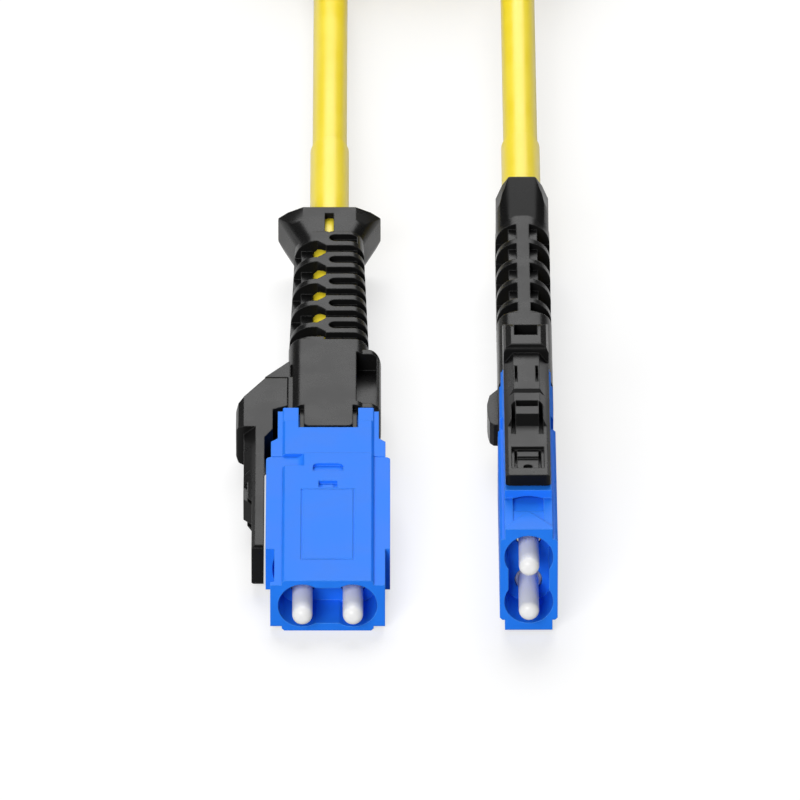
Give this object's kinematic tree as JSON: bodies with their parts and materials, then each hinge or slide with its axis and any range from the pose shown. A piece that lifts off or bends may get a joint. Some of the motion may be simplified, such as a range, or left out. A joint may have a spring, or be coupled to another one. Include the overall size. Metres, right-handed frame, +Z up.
{
  "type": "fibre patch cord",
  "caption": "Yellow duplex fibre patch cord with a small blue push-pull connector, ribbed black boot and latch bar on each end, its length wound in a tied coil.",
  "frame": {"origin": "on the surface, midway between the two connectors and along their length", "axes": "+X to the right and +Z up in the picture, +Y away from the ferrules along the cable"},
  "size_m": [0.0286, 0.1165, 0.0096],
  "materials": {
    "blue_plastic": "satin",
    "black_plastic": "satin",
    "ceramic": "polished",
    "holder_metal": "turned",
    "spring_steel": "drawn",
    "crimp_metal": "satin",
    "fibre_buffer": "satin",
    "yellow_sleeve": "satin",
    "yellow_jacket": "satin",
    "tie_fabric": "woven"
  },
  "bodies": {
    "cord": {"housing_a": "blue_plastic", "rear_body_a": "blue_plastic", "crimp_sleeve_a": "crimp_metal", "cable_sleeve_a": "yellow_sleeve", "spring_1_a": "spring_steel", "spring_2_a": "spring_steel", "housing_b": "blue_plastic", "rear_body_b": "blue_plastic", "crimp_sleeve_b": "crimp_metal", "cable_sleeve_b": "yellow_sleeve", "spring_1_b": "spring_steel", "spring_2_b": "spring_steel", "cable_run_a": "yellow_jacket", "cable_run_b": "yellow_jacket", "cable_coil": "yellow_jacket", "coil_tie": "tie_fabric"},
    "boot_a": {"boot_a": "black_plastic"},
    "latch_a": {"latch_a": "black_plastic"},
    "float_1_a": {"ferrule_1_a": "ceramic", "ferrule_holder_1_a": "holder_metal", "fibre_1_a": "fibre_buffer"},
    "float_2_a": {"ferrule_2_a": "ceramic", "ferrule_holder_2_a": "holder_metal", "fibre_2_a": "fibre_buffer"},
    "boot_b": {"boot_b": "black_plastic"},
    "latch_b": {"latch_b": "black_plastic"},
    "float_1_b": {"ferrule_1_b": "ceramic", "ferrule_holder_1_b": "holder_metal", "fibre_1_b": "fibre_buffer"},
    "float_2_b": {"ferrule_2_b": "ceramic", "ferrule_holder_2_b": "holder_metal", "fibre_2_b": "fibre_buffer"}
  },
  "joints": [
    {"name": "boot_slide_a", "type": "slide", "parent": "cord", "child": "boot_a", "axis": [0, 0.9996, 0.0277], "range_m": [0, 0.0015], "stiffness_N_per_m": 1500},
    {"name": "latch_flex_a", "type": "hinge", "parent": "boot_a", "child": "latch_a", "pos_m": [-0.00675, -0.00173, 0.00248], "axis": [0, 0.0277, -0.9996], "range_deg": [0, 2], "stiffness_Nm_per_rad": 0.5},
    {"name": "ferrule_float_1_a", "type": "slide", "parent": "cord", "child": "float_1_a", "axis": [0, 0.9996, 0.0277], "range_m": [0, 0.0008], "stiffness_N_per_m": 600, "deforming": ["spring_1_a"]},
    {"name": "ferrule_float_2_a", "type": "slide", "parent": "cord", "child": "float_2_a", "axis": [0, 0.9996, 0.0277], "range_m": [0, 0.0008], "stiffness_N_per_m": 600, "deforming": ["spring_2_a"]},
    {"name": "boot_slide_b", "type": "slide", "parent": "cord", "child": "boot_b", "axis": [-0.0052, 1, 0], "range_m": [0, 0.0015], "stiffness_N_per_m": 1500},
    {"name": "latch_flex_b", "type": "hinge", "parent": "boot_b", "child": "latch_b", "pos_m": [0.00801, -0.00213, 0.00639], "axis": [-1, -0.0052, 0], "range_deg": [0, 2], "stiffness_Nm_per_rad": 0.5},
    {"name": "ferrule_float_1_b", "type": "slide", "parent": "cord", "child": "float_1_b", "axis": [-0.0052, 1, 0], "range_m": [0, 0.0008], "stiffness_N_per_m": 600, "deforming": ["spring_1_b"]},
    {"name": "ferrule_float_2_b", "type": "slide", "parent": "cord", "child": "float_2_b", "axis": [-0.0052, 1, 0], "range_m": [0, 0.0008], "stiffness_N_per_m": 600, "deforming": ["spring_2_b"]}
  ]
}
